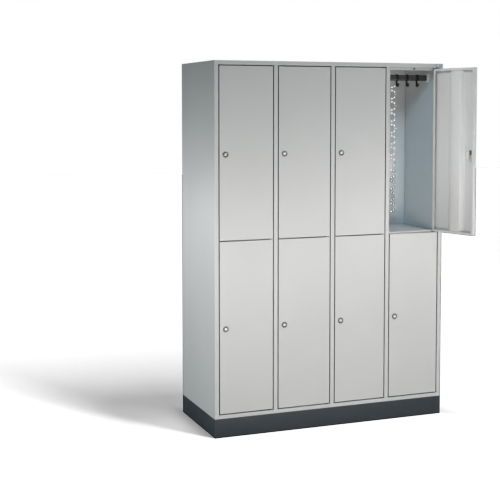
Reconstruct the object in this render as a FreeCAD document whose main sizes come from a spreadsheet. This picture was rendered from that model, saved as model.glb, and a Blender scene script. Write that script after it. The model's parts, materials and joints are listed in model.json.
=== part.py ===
import FreeCAD, Part
import math
import os
import re

import Sketcher

# Locker cabinet: four columns and two tiers on a plinth.
# Millimetres. X runs along the front, Y from the front to the back, Z up.
# The origin is on the floor, under the middle of the cabinet.

DIMENSIONS = {
    # the cabinet as a whole
    "cabinet_width": 1220,
    "cabinet_depth": 500,
    "cabinet_height": 1785,
    "column_pitch": 300,
    "sheet": 1,
    # front frame
    "frame_width": 20,
    "bottom_rail": 18,
    "frame_depth": 25,
    "stop_side": 12,
    "stop_top": 14,
    "stop_bottom": 12,
    "edge_round": 0.8,
    # plinth
    "plinth_height": 90,
    "plinth_sheet": 1.5,
    "plinth_flange": 25,
    # inside
    "inner_depth": 350,
    "shelf_rise": 6,
    "shelf_fold": 15,
    "shelf_lip": 24,
    "ring_radius": 21.5,
    "ring_pitch": 60,
    "ring_column": 60,
    "ring_start": 31.5,
    "vent_radius": 4.5,
    # rails across the open back
    "tie_height": 80,
    "tie_sheet": 2,
    "tie_lowered": 40,
    "wall_hole_radius": 4.5,
    "wall_hole_spacing": 900,
    # doors
    "door_gap": 5,
    "door_depth": 20,
    "door_lip": 12,
    "open_angle": 106,
    "hat_crown": 60,
    "hat_base": 84,
    "hat_flange": 12,
    "hat_aside": 14,
    # hinges
    "pivot_inset": 8,
    "pin_radius": 3,
    "pin_reach": 10,
    "running_gap": 0.05,
    "lug_thickness": 1.6,
    "lug_overhang": 7,
    "bush_radius": 6,
    "bush_play": 0.4,
    "middle_bush": 1.3,
    # locks
    "lock_inset": 30,
    "lock_drop": 5,
    "rosette_radius": 14.5,
    "rosette_height": 3,
    "rosette_bevel": 1.5,
    "dish_radius": 9.8,
    "barrel_radius": 9.3,
    "barrel_length": 22,
    "nut_radius": 13,
    "nut_height": 5,
    "core_radius": 6.5,
    "core_front": 2.2,
    "collar_radius": 8,
    "collar_height": 1.7,
    "neck_radius": 5,
    "cam_depth": 26.5,
    "cam_thickness": 2.5,
    "cam_half_width": 7,
    "cam_reach": 25,
    "cam_screw": 3,
    "keyway_width": 1.6,
    "keyway_height": 8,
    "keyway_depth": 6,
    # coat rails and hooks
    "rail_depth": 115,
    "rail_drop": 49,
    "rail_height": 30,
    "rail_thickness": 15,
    "rail_wall": 1.2,
    "socket_play": 0.3,
    "socket_wall": 3,
    "socket_length": 8,
    "plate_thickness": 3,
    "plate_width": 34,
    "plate_height": 46,
    "hook_pitch": 57,
    "hooks_aside": 17,
    "hook_width": 12,
    "clip_play": 0.3,
    "clip_wall": 2.5,
    "stem_length": 20,
    "stem_thickness": 5,
    "bend_radius": 7.5,
    "tip_rise": 9,
    # small parts
    "buffer_radius": 4,
    "buffer_length": 3.6,
    "buffer_drop": 10,
    "buffer_aside": 8,
    "plug_radius": 5.5,
    "plug_top_radius": 4,
    "plug_height": 1.5,
}

COLUMNS = range(4)
TIERS = range(2)
OPEN_DOOR = (3, 1)
RINGS = 13
HOLES_IN_RING = 8

# expressions that several pieces share
HALF_WIDTH = "cabinet_width / 2"
FRONT = "(-cabinet_depth / 2)"
BACK = "(cabinet_depth / 2)"
HALF_OPENING = "((column_pitch - frame_width) / 2)"
OPENING_BOTTOM = "(plinth_height + bottom_rail)"
OPENING_TOP = "(cabinet_height - frame_width)"
OPENING_HEIGHT = "(cabinet_height - plinth_height - frame_width - bottom_rail)"
DOOR_WIDTH = "(column_pitch - frame_width - 2 * door_gap)"
DOOR_HEIGHT = f"(({OPENING_HEIGHT} - 3 * door_gap) / 2)"
SPLIT = f"({OPENING_BOTTOM} + 1.5 * door_gap + {DOOR_HEIGHT})"
SHELF_TOP = f"({SPLIT} + shelf_rise)"
PANEL_FRONT = f"({FRONT} + inner_depth)"
FREE_EDGE = f"(pivot_inset - {DOOR_WIDTH})"
LOCK_ACROSS = f"({FREE_EDGE} + lock_inset)"
LOCK_UP = f"({DOOR_HEIGHT} / 2 - lock_drop)"

doc = FreeCAD.newDocument("locker_cabinet")
dims = doc.addObject("Spreadsheet::Sheet", "dims")
nodes = []


def fill_sheet():
    for row, (name, size) in enumerate(DIMENSIONS.items(), start=1):
        dims.set(f"A{row}", name)
        dims.set(f"B{row}", str(size))
        dims.setAlias(f"B{row}", name)
    doc.recompute()


def bound(text):
    """The expression with every dimension's name turned into a reference to the sheet."""
    return re.sub(r"[a-z_]+", lambda word: f"dims.{word[0]}", text)


def value(text):
    return float(dims.evalExpression(bound(text)))


def column_centre(column):
    return f"(({column} - 1.5) * column_pitch)"


def door_bottom(tier):
    return f"({OPENING_BOTTOM} + door_gap + {tier} * ({DOOR_HEIGHT} + door_gap))"


def compartment_floor(tier):
    return [OPENING_BOTTOM, SHELF_TOP][tier]


def keep(thing, label):
    """Name an object as one node of the cabinet."""
    thing.Label = label
    nodes.append(thing)
    return thing


def place(thing, across="0", depth="0", up="0"):
    for axis, text in zip("xyz", (across, depth, up)):
        thing.setExpression(f"Placement.Base.{axis}", bound(text))


# --- sketches and features -------------------------------------------------------------------


def new_body(name):
    return doc.addObject("PartDesign::Body", name)


def new_sketch(body, role, at="0", up="0"):
    """A sketch on one of the body's origin planes, moved along the plane's axis to `at`."""
    plane = next(o for o in body.Origin.OriginFeatures if o.Role == role)
    sketch = body.newObject("Sketcher::SketchObject", f"{body.Name}_sketch")
    sketch.AttachmentSupport = (plane, [""])
    sketch.MapMode = "FlatFace"
    sign = "-" if role == "XZ_Plane" else ""
    sketch.setExpression("AttachmentOffset.Base.z", bound(f"{sign}({at})"))
    sketch.setExpression("AttachmentOffset.Base.y", bound(up))
    return sketch


def fix_point(sketch, element, corner, point):
    """Bind one point of a sketch to a pair of expressions, measured from the origin."""
    for kind, text in zip(("DistanceX", "DistanceY"), point):
        number = sketch.addConstraint(Sketcher.Constraint(kind, -1, 1, element, corner, value(text)))
        sketch.setExpression(f"Constraints[{number}]", bound(text))


def outline(sketch, points):
    """A closed outline of straight lines through the points."""
    places = [FreeCAD.Vector(value(across), value(up), 0) for across, up in points]
    first = sketch.GeometryCount
    count = len(points)
    for index in range(count):
        line = Part.LineSegment(places[index], places[(index + 1) % count])
        sketch.addGeometry(line, False)
    for index in range(count):
        following = first + (index + 1) % count
        sketch.addConstraint(Sketcher.Constraint("Coincident", first + index, 2, following, 1))
    for index, point in enumerate(points):
        fix_point(sketch, first + index, 1, point)


def rectangle(sketch, left, low, right, high):
    outline(sketch, [(left, low), (right, low), (right, high), (left, high)])


def centred_rectangle(sketch, centre, half_width, half_height, middle="0"):
    rectangle(
        sketch,
        f"{centre} - ({half_width})",
        f"{middle} - ({half_height})",
        f"{centre} + ({half_width})",
        f"{middle} + ({half_height})",
    )


def circle(sketch, centre, radius):
    middle = FreeCAD.Vector(value(centre[0]), value(centre[1]), 0)
    shape = Part.Circle(middle, FreeCAD.Vector(0, 0, 1), value(radius))
    element = sketch.addGeometry(shape, False)
    fix_point(sketch, element, 3, centre)
    number = sketch.addConstraint(Sketcher.Constraint("Radius", element, value(radius)))
    sketch.setExpression(f"Constraints[{number}]", bound(radius))


def upright_oval(sketch, low, high, radius, across="0"):
    """Two straight sides joined by a half circle at the top and at the bottom."""
    middle = value(across)
    bottom = value(low) + value(radius)
    top = value(high) - value(radius)
    half = value(radius)
    first = sketch.GeometryCount
    axis = FreeCAD.Vector(0, 0, 1)
    upper = Part.Circle(FreeCAD.Vector(middle, top, 0), axis, half)
    lower = Part.Circle(FreeCAD.Vector(middle, bottom, 0), axis, half)
    corner = [
        FreeCAD.Vector(middle + half, bottom, 0),
        FreeCAD.Vector(middle + half, top, 0),
        FreeCAD.Vector(middle - half, top, 0),
        FreeCAD.Vector(middle - half, bottom, 0),
    ]
    sketch.addGeometry(Part.LineSegment(corner[0], corner[1]), False)
    sketch.addGeometry(Part.ArcOfCircle(upper, 0, math.pi), False)
    sketch.addGeometry(Part.LineSegment(corner[2], corner[3]), False)
    sketch.addGeometry(Part.ArcOfCircle(lower, math.pi, 2 * math.pi), False)
    for index in range(4):
        following = first + (index + 1) % 4
        sketch.addConstraint(Sketcher.Constraint("Coincident", first + index, 2, following, 1))
    right, left = f"{across} + ({radius})", f"{across} - ({radius})"
    fix_point(sketch, first, 1, (right, f"{low} + ({radius})"))
    fix_point(sketch, first, 2, (right, f"{high} - ({radius})"))
    fix_point(sketch, first + 2, 1, (left, f"{high} - ({radius})"))
    fix_point(sketch, first + 2, 2, (left, f"{low} + ({radius})"))
    for arc, level in ((first + 1, f"{high} - ({radius})"), (first + 3, f"{low} + ({radius})")):
        number = sketch.addConstraint(Sketcher.Constraint("DistanceY", -1, 1, arc, 3, value(level)))
        sketch.setExpression(f"Constraints[{number}]", bound(level))


def extruded(body, sketch, kind, length, reverse):
    feature = body.newObject(f"PartDesign::{kind}", f"{body.Name}_{kind.lower()}")
    feature.Profile = sketch
    feature.Reversed = reverse
    feature.setExpression("Length", bound(length))
    sketch.Visibility = False
    return feature


def drawn_on_front(sketch):
    return sketch.AttachmentSupport[0][0].Role == "XZ_Plane"


def pad(body, sketch, length):
    """Extrude towards the positive side of the sketch plane's axis."""
    return extruded(body, sketch, "Pad", length, drawn_on_front(sketch))


def pocket(body, sketch, length):
    """Cut towards the positive side of the sketch plane's axis."""
    return extruded(body, sketch, "Pocket", length, not drawn_on_front(sketch))


def turned(body, sketch):
    """Turn the sketch a full circle about its own horizontal axis."""
    feature = body.newObject("PartDesign::Revolution", f"{body.Name}_revolution")
    feature.Profile = sketch
    feature.ReferenceAxis = (sketch, ["H_Axis"])
    feature.Angle = 360
    sketch.Visibility = False
    return feature


def round_edges(body, wanted, radius):
    """Fillet the edges of the body's last feature that the test picks."""
    doc.recompute()
    base = body.Tip
    names = [f"Edge{i}" for i, edge in enumerate(base.Shape.Edges, start=1) if wanted(edge)]
    fillet = body.newObject("PartDesign::Fillet", f"{body.Name}_fillet")
    fillet.Base = (base, names)
    fillet.setExpression("Radius", bound(radius))
    base.Visibility = False


def lies_at_depth(depth):
    """A test for edges that lie wholly at one depth."""
    level = value(depth)
    return lambda edge: all(abs(v.Point.y - level) < 1e-4 for v in edge.Vertexes)


def copies(label, masters):
    """One node of separate solids: each entry is a master, its place and its turn about Z."""
    links = []
    for master, across, depth, up, turn in masters:
        link = doc.addObject("App::Link", f"{label}_copy")
        link.LinkedObject = master
        link.Placement = FreeCAD.Placement(
            FreeCAD.Vector(), FreeCAD.Rotation(FreeCAD.Vector(0, 0, 1), turn)
        )
        place(link, across, depth, up)
        links.append(link)
    group = doc.addObject("Part::Compound", label)
    group.Links = links
    return keep(group, label)


# --- carcass ---------------------------------------------------------------------------------


def make_front_frame():
    """Channel-section frame with an opening for each column and a stop flange round each."""
    body = new_body("front_frame")
    face = new_sketch(body, "XZ_Plane", FRONT)
    rectangle(face, f"-{HALF_WIDTH}", "plinth_height", HALF_WIDTH, "cabinet_height")
    pad(body, face, "frame_depth")

    openings = new_sketch(body, "XZ_Plane", FRONT)
    throats = new_sketch(body, "XZ_Plane", FRONT)
    channel = new_sketch(body, "XZ_Plane", f"{FRONT} + sheet")
    rectangle(
        channel,
        f"-{HALF_WIDTH} + sheet",
        "plinth_height + sheet",
        f"{HALF_WIDTH} - sheet",
        "cabinet_height - sheet",
    )
    for column in COLUMNS:
        middle = column_centre(column)
        left, right = f"{middle} - {HALF_OPENING}", f"{middle} + {HALF_OPENING}"
        rectangle(openings, left, OPENING_BOTTOM, right, OPENING_TOP)
        rectangle(
            throats,
            f"{left} + stop_side",
            f"{OPENING_BOTTOM} + stop_bottom",
            f"{right} - stop_side",
            f"{OPENING_TOP} - stop_top",
        )
        rectangle(
            channel,
            f"{left} - sheet",
            f"{OPENING_BOTTOM} - sheet",
            f"{right} + sheet",
            f"{OPENING_TOP} + sheet",
        )
    pocket(body, openings, "frame_depth - sheet")
    pocket(body, throats, "frame_depth")
    pocket(body, channel, "frame_depth")
    round_edges(body, lies_at_depth(FRONT), "edge_round")
    return keep(body, "front_frame")


def make_side(name, side):
    """Side wall: double as far back as the perforated panel, and a single skin behind it."""
    body = new_body(name)
    section = new_sketch(body, "XY_Plane", OPENING_BOTTOM)
    front = f"{FRONT} + frame_depth"
    back = f"{PANEL_FRONT} + sheet"
    outer, inner = f"{side} * ({HALF_WIDTH})", f"{side} * ({HALF_WIDTH} - frame_width)"
    skin = f"{side} * ({HALF_WIDTH} - sheet)"
    outline(
        section,
        [(outer, front), (inner, front), (inner, back), (skin, back), (skin, BACK), (outer, BACK)],
    )
    lining = f"{side} * ({HALF_WIDTH} - frame_width + sheet)"
    rectangle(section, skin, f"{front} + sheet", lining, f"{back} - sheet")
    pad(body, section, OPENING_HEIGHT)
    return keep(body, name)


def make_partition(number):
    """Double-walled partition: an oblong tube from the floor's top to the roof's underside."""
    body = new_body(f"partition_{number}")
    section = new_sketch(body, "XY_Plane", OPENING_BOTTOM)
    front, back = f"{FRONT} + frame_depth", f"{BACK} - tie_sheet"
    middle = f"({number} - 2) * column_pitch"
    half = "(frame_width / 2)"
    rectangle(section, f"{middle} - {half}", front, f"{middle} + {half}", back)
    rectangle(
        section,
        f"{middle} - {half} + sheet",
        f"{front} + sheet",
        f"{middle} + {half} - sheet",
        f"{back} - sheet",
    )
    pad(body, section, OPENING_HEIGHT)
    return keep(body, f"partition_{number}")


def make_sides_and_partitions():
    make_side("side_left", -1)
    make_side("side_right", 1)
    for number in range(1, len(COLUMNS)):
        make_partition(number)


def make_cover(name, low, height):
    """Roof or floor: a flat box as wide as the cabinet, open at the back."""
    body = new_body(name)
    front = f"{FRONT} + frame_depth"
    plan = new_sketch(body, "XY_Plane", low)
    rectangle(plan, f"-{HALF_WIDTH}", front, HALF_WIDTH, BACK)
    pad(body, plan, height)
    hollow = new_sketch(body, "XZ_Plane", f"{front} + sheet")
    rectangle(
        hollow,
        f"-{HALF_WIDTH} + sheet",
        f"{low} + sheet",
        f"{HALF_WIDTH} - sheet",
        f"{low} + {height} - sheet",
    )
    pocket(body, hollow, "cabinet_depth - frame_depth")
    return keep(body, name)


def make_shelf(column):
    """Tray with its folds down and a deep front lip that stops both doors."""
    name = f"shelf_{column + 1}"
    body = new_body(name)
    middle = column_centre(column)
    front = f"{FRONT} + frame_depth"
    back = PANEL_FRONT
    tray = new_sketch(body, "XY_Plane", f"{SHELF_TOP} - shelf_fold")
    rectangle(tray, f"{middle} - {HALF_OPENING}", front, f"{middle} + {HALF_OPENING}", back)
    pad(body, tray, "shelf_fold")
    under = new_sketch(body, "XY_Plane", f"{SHELF_TOP} - shelf_fold")
    rectangle(
        under,
        f"{middle} - {HALF_OPENING} + sheet",
        f"{front} + sheet",
        f"{middle} + {HALF_OPENING} - sheet",
        f"{back} - sheet",
    )
    pocket(body, under, "shelf_fold - sheet")
    lip = new_sketch(body, "XZ_Plane", f"{front} - sheet")
    rectangle(
        lip,
        f"{middle} - {HALF_OPENING} + stop_side",
        f"{SHELF_TOP} - shelf_lip",
        f"{middle} + {HALF_OPENING} - stop_side",
        SHELF_TOP,
    )
    pad(body, lip, "sheet")
    return keep(body, name)


def vent_places(tier):
    """Centres of one compartment's holes: rings of eight, in two columns."""
    start = value(compartment_floor(tier)) + value("ring_start")
    for row in range(RINGS):
        for side in (-1, 1):
            for hole in range(HOLES_IN_RING):
                angle = hole * 2 * math.pi / HOLES_IN_RING
                across = side * value("ring_column") + value("ring_radius") * math.cos(angle)
                up = start + row * value("ring_pitch") + value("ring_radius") * math.sin(angle)
                yield FreeCAD.Vector(across, 0, up)


def make_back_panel(column):
    """Perforated sheet behind one column, cut in one go because it has hundreds of holes."""
    half, low, high = value(HALF_OPENING), value(OPENING_BOTTOM), value(OPENING_TOP)
    corners = [(-half, low), (half, low), (half, high), (-half, high), (-half, low)]
    wires = [Part.makePolygon([FreeCAD.Vector(x, 0, z) for x, z in corners])]
    for tier in TIERS:
        for centre in vent_places(tier):
            ring = Part.makeCircle(value("vent_radius"), centre, FreeCAD.Vector(0, 1, 0))
            wires.append(Part.Wire(ring))
    panel = doc.addObject("Part::Feature", f"back_panel_{column + 1}")
    panel.Shape = Part.Face(wires).extrude(FreeCAD.Vector(0, value("sheet"), 0))
    place(panel, column_centre(column), PANEL_FRONT)
    return keep(panel, f"back_panel_{column + 1}")


def make_tie(name, low):
    """Flat rail across the open back, between the sides."""
    body = new_body(name)
    face = new_sketch(body, "XZ_Plane", f"{BACK} - tie_sheet")
    half = f"({HALF_WIDTH} - sheet)"
    rectangle(face, f"-{half}", low, half, f"{low} + tie_height")
    pad(body, face, "tie_sheet")
    return body


def make_rear_ties():
    """Three flat rails. The top one has the two holes for fixing to a wall."""
    top = make_tie("tie_top", f"{OPENING_TOP} - tie_height")
    holes = new_sketch(top, "XZ_Plane", f"{BACK} - tie_sheet")
    for side in "-+":
        circle(
            holes,
            (f"0 {side} wall_hole_spacing / 2", f"{OPENING_TOP} - tie_lowered"),
            "wall_hole_radius",
        )
    pocket(top, holes, "tie_sheet")
    middle = make_tie("tie_middle", f"{SHELF_TOP} - tie_lowered")
    bottom = make_tie("tie_bottom", OPENING_BOTTOM)
    group = doc.addObject("Part::Compound", "rear_ties")
    group.Links = [top, middle, bottom]
    return keep(group, "rear_ties")


def make_plinth():
    """Folded ring with flanges turned in, top and bottom, and an I-shaped brace in the middle."""
    body = new_body("plinth")
    plan = new_sketch(body, "XY_Plane")
    centred_rectangle(plan, "0", HALF_WIDTH, "cabinet_depth / 2")
    pad(body, plan, "plinth_height")
    cavity = new_sketch(body, "XY_Plane", "plinth_sheet")
    throat = new_sketch(body, "XY_Plane")
    for side in (-1, 1):
        inner, outer = f"{side} * plinth_sheet / 2", f"{side} * ({HALF_WIDTH} - plinth_sheet)"
        half = "(cabinet_depth / 2 - plinth_sheet)"
        rectangle(cavity, inner, f"-{half}", outer, half)
        inner, outer = f"{side} * plinth_flange", f"{side} * ({HALF_WIDTH} - plinth_flange)"
        half = "(cabinet_depth / 2 - plinth_flange)"
        rectangle(throat, inner, f"-{half}", outer, half)
    pocket(body, cavity, "plinth_height - 2 * plinth_sheet")
    pocket(body, throat, "plinth_height")
    return keep(body, "plinth")


# --- doors -----------------------------------------------------------------------------------
# A door's own origin is on its pivot axis, at the door's bottom edge.


def on_door(thing, column, tier):
    """Put a piece of a door where its pivot is, and swing it if it is the open door."""
    if (column, tier) == OPEN_DOOR:
        turn = FreeCAD.Rotation(FreeCAD.Vector(0, 0, 1), 1)
        thing.Placement = FreeCAD.Placement(FreeCAD.Vector(), turn)
        thing.setExpression("Placement.Rotation.Angle", bound("open_angle"))
    place(thing, pivot_across(column), f"{FRONT} + pivot_inset", door_bottom(tier))


def pivot_across(column):
    return f"({column_centre(column)} + {HALF_OPENING} - door_gap - pivot_inset)"


def make_door_panel(name):
    """Folded pan: a skin, four returns and a rim of lips turned in behind."""
    body = new_body(name)
    front, back = "-pivot_inset", "(door_depth - pivot_inset)"
    plan = new_sketch(body, "XY_Plane")
    rectangle(plan, FREE_EDGE, front, "pivot_inset", back)
    pad(body, plan, DOOR_HEIGHT)
    cavity = new_sketch(body, "XY_Plane", "sheet")
    rectangle(
        cavity, f"{FREE_EDGE} + sheet", f"{front} + sheet", "pivot_inset - sheet", f"{back} - sheet"
    )
    pocket(body, cavity, f"{DOOR_HEIGHT} - 2 * sheet")
    rim = new_sketch(body, "XZ_Plane", f"{back} - sheet")
    rectangle(
        rim,
        f"{FREE_EDGE} + door_lip",
        "door_lip",
        "pivot_inset - door_lip",
        f"{DOOR_HEIGHT} - door_lip",
    )
    pocket(body, rim, "sheet")
    lock_hole = new_sketch(body, "XZ_Plane", front)
    circle(lock_hole, (LOCK_ACROSS, LOCK_UP), "barrel_radius + running_gap")
    pocket(body, lock_hole, "sheet")
    pivot_holes = new_sketch(body, "XY_Plane")
    circle(pivot_holes, ("0", "0"), "pin_radius + running_gap")
    pocket(body, pivot_holes, DOOR_HEIGHT)
    on_skin = lies_at_depth(front)
    round_edges(body, lambda edge: on_skin(edge) and len(edge.Vertexes) == 2, "edge_round")
    return body


def make_stiffener(name):
    """Hat section from the bottom return to the top one, its crown level with the lips."""
    body = new_body(name)
    middle = f"(pivot_inset - {DOOR_WIDTH} / 2 - hat_aside)"
    skin = "(sheet - pivot_inset)"
    crown = "(door_depth - pivot_inset - sheet)"
    half_edge = "(hat_base / 2 + hat_flange)"
    half_base = "(hat_base / 2)"
    half_crown = "(hat_crown / 2)"
    right_side = [
        (half_crown, crown),
        (half_base, f"{skin} + sheet"),
        (half_edge, f"{skin} + sheet"),
        (half_edge, skin),
        (f"({half_base} - sheet)", skin),
        (f"({half_crown} - sheet)", f"{crown} - sheet"),
    ]
    left_side = [(f"-{across}", depth) for across, depth in reversed(right_side)]
    section = new_sketch(body, "XY_Plane", "sheet")
    outline(section, [(f"{middle} + {a}", d) for a, d in right_side + left_side])
    pad(body, section, f"{DOOR_HEIGHT} - 2 * sheet")
    return body


def make_lock_housing(name):
    """Bevelled rosette with a dished middle, a barrel through the skin and a nut behind it."""
    body = new_body(name)
    half = new_sketch(body, "YZ_Plane", LOCK_ACROSS, LOCK_UP)
    skin = "(-pivot_inset)"
    bore = "core_radius + running_gap"
    outline(
        half,
        [
            (f"{skin} - rosette_height", "dish_radius"),
            (f"{skin} - rosette_height", "rosette_radius - rosette_bevel"),
            (f"{skin} - rosette_height + rosette_bevel", "rosette_radius"),
            (skin, "rosette_radius"),
            (skin, "barrel_radius"),
            (f"{skin} + barrel_length", "barrel_radius"),
            (f"{skin} + barrel_length", bore),
            (f"{skin} - rosette_bevel", bore),
        ],
    )
    turned(body, half)
    nut = new_sketch(body, "XZ_Plane", f"{skin} + sheet")
    corners = []
    for corner in range(6):
        angle = corner * math.pi / 3
        across = f"{LOCK_ACROSS} + {math.cos(angle):.6f} * nut_radius"
        corners.append((across, f"{LOCK_UP} + {math.sin(angle):.6f} * nut_radius"))
    outline(nut, corners)
    circle(nut, (LOCK_ACROSS, LOCK_UP), "barrel_radius - sheet")
    pad(body, nut, "nut_height")
    return body


def make_lock_core(name):
    """Turning core with a keyway in front, a retaining collar and a cam that hangs down."""
    body = new_body(name)
    half = new_sketch(body, "YZ_Plane", LOCK_ACROSS, LOCK_UP)
    skin = "(-pivot_inset)"
    collar = f"{skin} + barrel_length + 0.3 * sheet"
    outline(
        half,
        [
            (f"{skin} - core_front", "0"),
            (f"{skin} - core_front", "core_radius"),
            (collar, "core_radius"),
            (collar, "collar_radius"),
            (f"{collar} + collar_height", "collar_radius"),
            (f"{collar} + collar_height", "neck_radius"),
            (f"{skin} + cam_depth + cam_thickness + cam_screw", "neck_radius"),
            (f"{skin} + cam_depth + cam_thickness + cam_screw", "0"),
        ],
    )
    turned(body, half)
    cam = new_sketch(body, "XZ_Plane", f"{skin} + cam_depth")
    upright_oval(
        cam,
        f"{LOCK_UP} - cam_reach - cam_half_width",
        f"{LOCK_UP} + cam_half_width",
        "cam_half_width",
        LOCK_ACROSS,
    )
    pad(body, cam, "cam_thickness")
    keyway = new_sketch(body, "XZ_Plane", f"{skin} - core_front")
    centred_rectangle(keyway, LOCK_ACROSS, "keyway_width / 2", "keyway_height / 2", LOCK_UP)
    pocket(body, keyway, "keyway_depth")
    return body


def make_doors():
    makers = {
        "door_panel": make_door_panel,
        "door_stiffener": make_stiffener,
        "lock_housing": make_lock_housing,
        "lock_core": make_lock_core,
    }
    for tier in TIERS:
        for column in COLUMNS:
            suffix = f"{['lower', 'upper'][tier]}_{column + 1}"
            for piece, make in makers.items():
                body = make(f"{piece}_{suffix}")
                on_door(body, column, tier)
                keep(body, f"{piece}_{suffix}")


# --- hinges ----------------------------------------------------------------------------------


def simple_cylinder(name, radius, length):
    cylinder = doc.addObject("Part::Cylinder", name)
    cylinder.setExpression("Radius", bound(radius))
    cylinder.setExpression("Height", bound(length))
    return cylinder


def make_middle_pivot():
    """Lug from the upright into the gap between two doors, with one pin up and down through it."""
    body = new_body("middle_pivot")
    plan = new_sketch(body, "XY_Plane", "-lug_thickness / 2")
    rectangle(
        plan,
        "-lug_overhang",
        "-lug_overhang",
        "pivot_inset + door_gap",
        "door_depth - pivot_inset - sheet",
    )
    pad(body, plan, "lug_thickness")
    reach = "(door_gap / 2 + pin_reach)"
    pin = new_sketch(body, "XY_Plane", f"-{reach}")
    circle(pin, ("0", "0"), "pin_radius")
    pad(body, pin, f"2 * {reach}")
    return body


def make_bush(name, thickness):
    outer = simple_cylinder(f"{name}_collar", "bush_radius", thickness)
    bore = simple_cylinder(f"{name}_bore", "pin_radius + running_gap", thickness)
    bush = doc.addObject("Part::Cut", name)
    bush.Base = outer
    bush.Tool = bore
    return bush


def make_hinges():
    """Pins at the ends of each column, a lug with a pin between the tiers, and their bushes."""
    end_pin = simple_cylinder("end_pin", "pin_radius", "door_gap + pin_reach")
    middle_pivot = make_middle_pivot()
    thick, thin = "door_gap - bush_play", "middle_bush"
    end_bush = make_bush("end_bush", thick)
    middle_bush = make_bush("thin_bush", thin)
    depth = f"{FRONT} + pivot_inset"
    pins, bushes = [], []
    for column in COLUMNS:
        across = pivot_across(column)
        pins.append((end_pin, across, depth, OPENING_BOTTOM, 0))
        pins.append((end_pin, across, depth, f"{OPENING_TOP} - door_gap - pin_reach", 0))
        pins.append((middle_pivot, across, depth, SPLIT, 0))
        bushes.append((end_bush, across, depth, OPENING_BOTTOM, 0))
        bushes.append((end_bush, across, depth, f"{OPENING_TOP} - ({thick})", 0))
        bushes.append((middle_bush, across, depth, f"{SPLIT} + lug_thickness / 2", 0))
        bushes.append((middle_bush, across, depth, f"{SPLIT} - lug_thickness / 2 - {thin}", 0))
    copies("hinge_pins", pins)
    copies("hinge_bushes", bushes)


# --- coat rails and hooks --------------------------------------------------------------------
# These masters have their origin on the rail's own axis.


def rail_up(tier):
    ceiling = [f"({SHELF_TOP} - sheet)", OPENING_TOP][tier]
    return f"({ceiling} - rail_drop)"


def oval(sketch, grow):
    """The rail's section grown on every side by one amount."""
    upright_oval(
        sketch,
        f"-rail_height / 2 - ({grow})",
        f"rail_height / 2 + {grow}",
        f"rail_thickness / 2 + {grow}",
    )


def make_rail():
    body = new_body("rail")
    half = f"({HALF_OPENING} - plate_thickness - socket_play)"
    section = new_sketch(body, "YZ_Plane", f"-{half}")
    oval(section, "0")
    oval(section, "-rail_wall")
    pad(body, section, f"2 * {half}")
    return body


def make_bracket():
    """Wall plate on the left of a compartment, with a socket for the rail's end."""
    body = new_body("bracket")
    plate = new_sketch(body, "YZ_Plane", f"-{HALF_OPENING}")
    centred_rectangle(plate, "0", "plate_width / 2", "plate_height / 2")
    pad(body, plate, "plate_thickness")
    socket = new_sketch(body, "YZ_Plane", f"-{HALF_OPENING} + plate_thickness")
    oval(socket, "socket_play + socket_wall")
    oval(socket, "socket_play")
    pad(body, socket, "socket_length")
    return body


def make_hook():
    """Clip round the rail with a stem below it and a hook that turns up at the front."""
    body = new_body("hook")
    clip = new_sketch(body, "YZ_Plane", "-hook_width / 2")
    oval(clip, "clip_play + clip_wall")
    oval(clip, "clip_play")
    pad(body, clip, "hook_width")
    top = "(-rail_height / 2 - clip_play - clip_wall / 2)"
    bend = f"({top} - stem_length)"
    stem = new_sketch(body, "YZ_Plane", "-hook_width / 2")
    rectangle(stem, "-stem_thickness / 2", bend, "stem_thickness / 2", top)
    pad(body, stem, "hook_width")
    curl = new_sketch(body, "YZ_Plane", "-hook_width / 2", bend)
    middle = "(-bend_radius)"
    half_band(curl, middle, "bend_radius + stem_thickness / 2", "bend_radius - stem_thickness / 2")
    pad(body, curl, "hook_width")
    tip = new_sketch(body, "YZ_Plane", "-hook_width / 2")
    upright_oval(
        tip,
        f"{bend} - stem_thickness / 2",
        f"{bend} + tip_rise",
        "stem_thickness / 2",
        "-2 * bend_radius",
    )
    pad(body, tip, "hook_width")
    return body


def half_band(sketch, middle, outer, inner):
    """The lower half of a ring, closed by a short line at each end."""
    axis = FreeCAD.Vector(0, 0, 1)
    centre = FreeCAD.Vector(value(middle), 0, 0)
    big, small = value(outer), value(inner)
    arcs = [Part.ArcOfCircle(Part.Circle(centre, axis, r), math.pi, 2 * math.pi) for r in (big, small)]
    ends = [FreeCAD.Vector(value(middle) + s * r, 0, 0) for s in (-1, 1) for r in (big, small)]
    sketch.addGeometry(arcs[0], False)
    sketch.addGeometry(arcs[1], False)
    sketch.addGeometry(Part.LineSegment(ends[0], ends[1]), False)
    sketch.addGeometry(Part.LineSegment(ends[2], ends[3]), False)
    for pair in ((2, 1, 0, 1), (2, 2, 1, 1), (3, 1, 0, 2), (3, 2, 1, 2)):
        sketch.addConstraint(Sketcher.Constraint("Coincident", *pair))
    for line, side in ((2, "-"), (3, "+")):
        fix_point(sketch, line, 1, (f"{middle} {side} ({outer})", "0"))
        fix_point(sketch, line, 2, (f"{middle} {side} ({inner})", "0"))
    for arc in (0, 1):
        sketch.addConstraint(Sketcher.Constraint("DistanceY", -1, 1, arc, 3, 0))


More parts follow.
